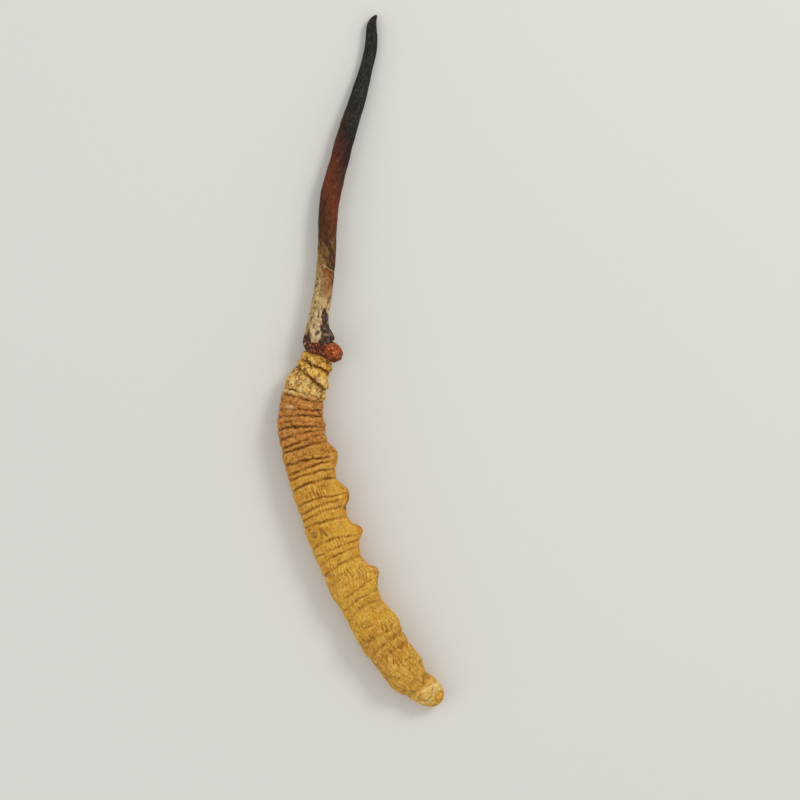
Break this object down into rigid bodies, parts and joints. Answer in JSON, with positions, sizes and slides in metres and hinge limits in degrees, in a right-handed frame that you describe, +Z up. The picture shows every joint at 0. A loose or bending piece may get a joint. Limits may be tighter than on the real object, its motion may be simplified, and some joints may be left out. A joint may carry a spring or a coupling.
{
  "type": "dried cordyceps fungus",
  "caption": "Dried cordyceps lying on its side: a golden, ring-folded larva with belly legs, a red-brown head and a thin curved stalk, tan at its foot and black at its pointed tip.",
  "frame": {"origin": "middle of the bounding box seen from above, on the surface that the specimen lies on", "axes": "+Y along its length, from the tail towards the stalk's tip; +Z up; +X towards the larva's belly side"},
  "size_m": [0.0207, 0.0865, 0.0054],
  "materials": {
    "dried_skin": "dry, matt, wrinkled skin, golden ochre with a paler yellow neck",
    "head_capsule": "dry, granular, orange-red to dark brown",
    "stalk_flesh": "dry and fibrous, tan at the foot, mahogany in the middle and black at the tip"
  },
  "bodies": {
    "root": {"larva_body": "dried_skin", "larva_head": "head_capsule", "stroma": "stalk_flesh"}
  },
  "joints": []
}
